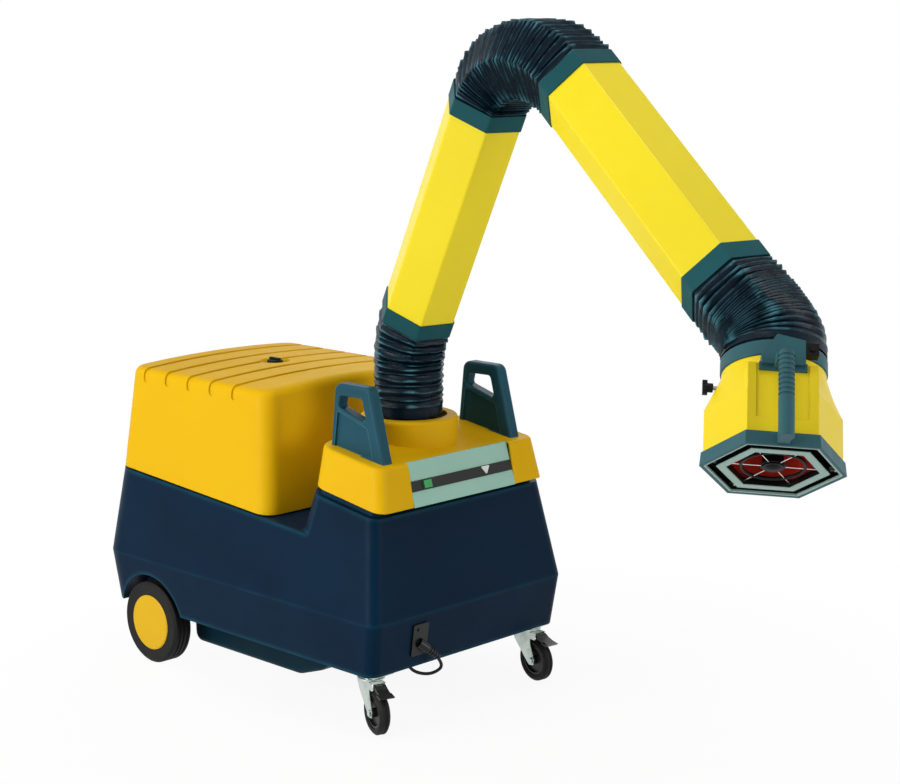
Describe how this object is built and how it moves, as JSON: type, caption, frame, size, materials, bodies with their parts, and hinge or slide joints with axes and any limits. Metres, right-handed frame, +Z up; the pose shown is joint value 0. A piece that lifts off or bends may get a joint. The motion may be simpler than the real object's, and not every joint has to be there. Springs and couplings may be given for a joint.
{
  "type": "welding fume extractor",
  "caption": "Mobile welding fume extractor: wheeled filter trolley with lift-off cover, control panel and handles, carrying a jointed hexagonal suction arm with pleated hoses and a hood.",
  "frame": {"origin": "on the floor, under the middle of the whole object's bounding box", "axes": "+X towards the trolley's front, the way the arm reaches; +Y to the trolley's left; +Z up"},
  "size_m": [2.6632, 0.9412, 1.933],
  "materials": {
    "chassis_navy": "moulded, dark teal-navy, fine grain",
    "pan_blue": "moulded, dark blue",
    "cover_yellow": "moulded, warm yellow",
    "knob_black": "moulded, black",
    "zinc_steel": "zinc plated sheet steel",
    "bracket_steel": "plain steel",
    "filter_paper": "pleated filter paper",
    "panel_mint": "pale mint grey enamel",
    "strip_black": "moulded, black",
    "switch_green": "green",
    "lens_white": "milky white",
    "handle_navy": "moulded, dark navy",
    "cable_black": "rubber sheathed",
    "duct_grey": "bare sheet",
    "motor_grey": "grey enamel",
    "cast_light": "bare",
    "tyre_black": "ribbed black rubber",
    "hub_yellow": "moulded, yellow",
    "hub_grey": "moulded, dark grey",
    "swivel_black": "moulded, black",
    "hose_black": "coated cloth, glossy blue-black",
    "tube_lemon": "lemon yellow enamel on sheet aluminium",
    "cuff_teal": "moulded, dark teal",
    "hood_yellow": "moulded, yellow",
    "hood_trim": "moulded, grey-blue",
    "mouth_pale": "moulded, pale grey-green",
    "guard_white": "bright wire",
    "liner_red": "moulded, dark red"
  },
  "bodies": {
    "trolley": {"chassis_shell": "chassis_navy", "belly_pan": "pan_blue", "tower_cap": "cover_yellow", "handle_right": "handle_navy", "handle_left": "handle_navy", "control_panel": "panel_mint", "panel_strip": "strip_black", "indicator_lens": "lens_white", "gland_plate": "strip_black", "strain_relief": "strip_black", "cable_loop": "cable_black", "inlet_duct": "duct_grey", "filter_cartridge": "filter_paper", "filter_seat": "zinc_steel", "fan_housing": "duct_grey", "fan_motor": "motor_grey", "rear_axle": "zinc_steel", "caster_plates": "zinc_steel"},
    "cover": {"filter_cover": "cover_yellow"},
    "knob": {"cover_knob": "knob_black"},
    "impeller": {"fan_impeller": "cast_light"},
    "rocker": {"rocker_switch": "switch_green"},
    "rear_wheel_right": {"rear_tyre_right": "tyre_black", "rear_hub_right": "hub_yellow"},
    "caster_right": {"caster_fork_right": "zinc_steel"},
    "caster_wheel_right": {"caster_tyre_right": "tyre_black", "caster_hub_right": "hub_grey"},
    "pedal_right": {"caster_pedal_right": "hub_grey"},
    "rear_wheel_left": {"rear_tyre_left": "tyre_black", "rear_hub_left": "hub_yellow"},
    "caster_left": {"caster_fork_left": "zinc_steel"},
    "caster_wheel_left": {"caster_tyre_left": "tyre_black", "caster_hub_left": "hub_grey"},
    "pedal_left": {"caster_pedal_left": "hub_grey"},
    "turret": {"swivel_ring": "swivel_black", "shoulder_fork": "bracket_steel", "shoulder_hose": "hose_black"},
    "lower_arm": {"lower_tube": "tube_lemon", "lower_cuffs": "cuff_teal", "lower_brackets": "bracket_steel", "elbow_hose": "hose_black"},
    "upper_arm": {"upper_tube": "tube_lemon", "upper_cuffs": "cuff_teal", "upper_brackets": "bracket_steel", "hood_hose": "hose_black"},
    "wrist": {"wrist_yoke": "bracket_steel"},
    "neck": {"neck_ring": "hood_trim"},
    "hood": {"hood_shell": "hood_yellow", "hood_rim": "hood_trim", "hood_mouth_frame": "mouth_pale", "hood_guard": "guard_white", "hood_lamp": "knob_black", "hood_baffle": "liner_red", "hood_handle": "hood_trim", "hood_switch_box": "knob_black"},
    "button": {"hood_button": "switch_green"},
    "damper": {"damper_flap": "bracket_steel", "damper_knob": "knob_black"}
  },
  "joints": [
    {"name": "arm_swivel", "type": "hinge", "parent": "trolley", "child": "turret", "pos_m": [-0.36859, 0.08464, 0.84], "axis": [0, 0, 1], "continuous": true},
    {"name": "shoulder", "type": "hinge", "parent": "turret", "child": "lower_arm", "pos_m": [-0.36859, 0.08464, 1.038], "axis": [0.1874, 0.9823, 0], "range_deg": [-30, 25], "deforming": ["shoulder_hose"]},
    {"name": "elbow", "type": "hinge", "parent": "lower_arm", "child": "upper_arm", "pos_m": [0.17609, -0.01927, 1.835], "axis": [-0.1874, -0.9823, 0], "range_deg": [-35, 60], "deforming": ["elbow_hose"]},
    {"name": "wrist_swivel", "type": "hinge", "parent": "upper_arm", "child": "wrist", "pos_m": [1.08248, -0.19217, 1.21656], "axis": [0.7751, -0.1479, -0.6143], "range_deg": [-90, 90], "deforming": ["hood_hose"]},
    {"name": "wrist_tilt", "type": "hinge", "parent": "wrist", "child": "neck", "pos_m": [1.08248, -0.19217, 1.21656], "axis": [-0.3144, 0.753, -0.578], "range_deg": [-45, 40], "deforming": ["hood_hose"]},
    {"name": "hood_turn", "type": "hinge", "parent": "neck", "child": "hood", "pos_m": [1.19201, -0.33701, 0.96828], "axis": [0.3561, -0.4709, -0.8071], "range_deg": [-170, 170]},
    {"name": "damper", "type": "hinge", "parent": "hood", "child": "damper", "pos_m": [1.12436, -0.24755, 1.12163], "axis": [0.7355, 0.674, -0.0687], "range_deg": [0, 90]},
    {"name": "hood_button", "type": "slide", "parent": "hood", "child": "button", "axis": [-0.5764, 0.5692, -0.5863], "range_m": [0, 0.0025], "stiffness_N_per_m": 300},
    {"name": "cover_lift", "type": "slide", "parent": "trolley", "child": "cover", "axis": [0, 0, 1], "range_m": [0, 0.15]},
    {"name": "knob_turn", "type": "hinge", "parent": "cover", "child": "knob", "pos_m": [-0.95059, 0.08464, 0.89], "axis": [0, 0, 1], "continuous": true},
    {"name": "fan_spin", "type": "hinge", "parent": "trolley", "child": "impeller", "pos_m": [-0.35859, 0.08464, 0.23], "axis": [0, 0, 1], "continuous": true},
    {"name": "rocker_tip", "type": "hinge", "parent": "trolley", "child": "rocker", "pos_m": [-0.1586, -0.05337, 0.67173], "axis": [-0.3112, 0, 0.9504], "range_deg": [0, 8]},
    {"name": "rear_wheel_right", "type": "hinge", "parent": "trolley", "child": "rear_wheel_right", "pos_m": [-1.10659, -0.26537, 0.125], "axis": [0, 1, 0], "continuous": true},
    {"name": "caster_swivel_right", "type": "hinge", "parent": "trolley", "child": "caster_right", "pos_m": [-0.19259, -0.23636, 0.153], "axis": [0, 0, 1], "continuous": true},
    {"name": "caster_wheel_right", "type": "hinge", "parent": "caster_right", "child": "caster_wheel_right", "pos_m": [-0.15675, -0.24899, 0.0625], "axis": [0.3322, 0.9432, 0], "continuous": true},
    {"name": "pedal_right", "type": "hinge", "parent": "caster_right", "child": "pedal_right", "pos_m": [-0.14543, -0.25297, 0.139], "axis": [0.3322, 0.9432, 0], "range_deg": [0, 20]},
    {"name": "rear_wheel_left", "type": "hinge", "parent": "trolley", "child": "rear_wheel_left", "pos_m": [-1.10659, 0.43463, 0.125], "axis": [0, 1, 0], "continuous": true},
    {"name": "caster_swivel_left", "type": "hinge", "parent": "trolley", "child": "caster_left", "pos_m": [-0.19259, 0.40564, 0.153], "axis": [0, 0, 1], "continuous": true},
    {"name": "caster_wheel_left", "type": "hinge", "parent": "caster_left", "child": "caster_wheel_left", "pos_m": [-0.15483, 0.4014, 0.0625], "axis": [0.1115, 0.9938, 0], "continuous": true},
    {"name": "pedal_left", "type": "hinge", "parent": "caster_left", "child": "pedal_left", "pos_m": [-0.1429, 0.40006, 0.139], "axis": [0.1115, 0.9938, 0], "range_deg": [0, 20]}
  ]
}
